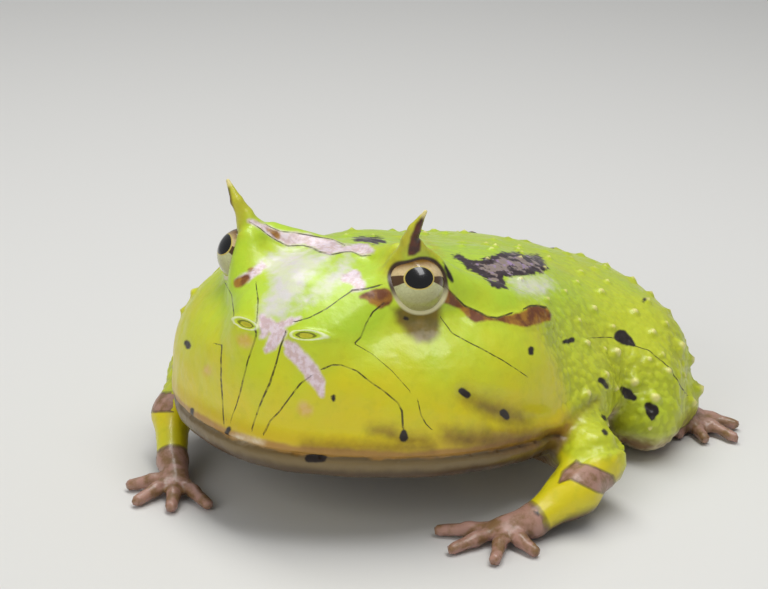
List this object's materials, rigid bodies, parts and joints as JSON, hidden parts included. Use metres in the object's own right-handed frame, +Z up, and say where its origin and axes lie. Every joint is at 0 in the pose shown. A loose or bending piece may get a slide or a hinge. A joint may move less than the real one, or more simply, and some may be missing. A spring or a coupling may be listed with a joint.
{
  "type": "surinam horned frog",
  "caption": "A squat, wide-mouthed frog at life size, sitting on a broad belly with its head raised on its forelegs and a pointed fleshy horn over each eye.",
  "frame": {"origin": "on the floor, below the middle of the bounding box", "axes": "the frog faces -Y, its left side is +X, and +Z is up"},
  "size_m": [0.1142, 0.1122, 0.0587],
  "materials": {
    "head": "moist skin, satin",
    "lower_jaw": "moist skin, satin",
    "torso": "moist warty skin, satin",
    "eye_left": "wet, glossy",
    "eye_right": "wet, glossy",
    "horn_left": "soft skin, satin",
    "horn_right": "soft skin, satin",
    "upper_arm_left": "moist skin, satin",
    "forearm_left": "moist skin, satin",
    "hand_left": "moist skin, satin",
    "thigh_left": "moist warty skin, satin",
    "shank_left": "moist skin, satin",
    "foot_left": "moist skin, satin",
    "upper_arm_right": "moist skin, satin",
    "forearm_right": "moist skin, satin",
    "hand_right": "moist skin, satin",
    "thigh_right": "moist warty skin, satin",
    "shank_right": "moist skin, satin",
    "foot_right": "moist skin, satin"
  },
  "bodies": {
    "root": {"head": "head", "lower_jaw": "lower_jaw", "torso": "torso", "eye_left": "eye_left", "eye_right": "eye_right", "horn_left": "horn_left", "horn_right": "horn_right", "upper_arm_left": "upper_arm_left", "forearm_left": "forearm_left", "hand_left": "hand_left", "thigh_left": "thigh_left", "shank_left": "shank_left", "foot_left": "foot_left", "upper_arm_right": "upper_arm_right", "forearm_right": "forearm_right", "hand_right": "hand_right", "thigh_right": "thigh_right", "shank_right": "shank_right", "foot_right": "foot_right"}
  },
  "joints": []
}
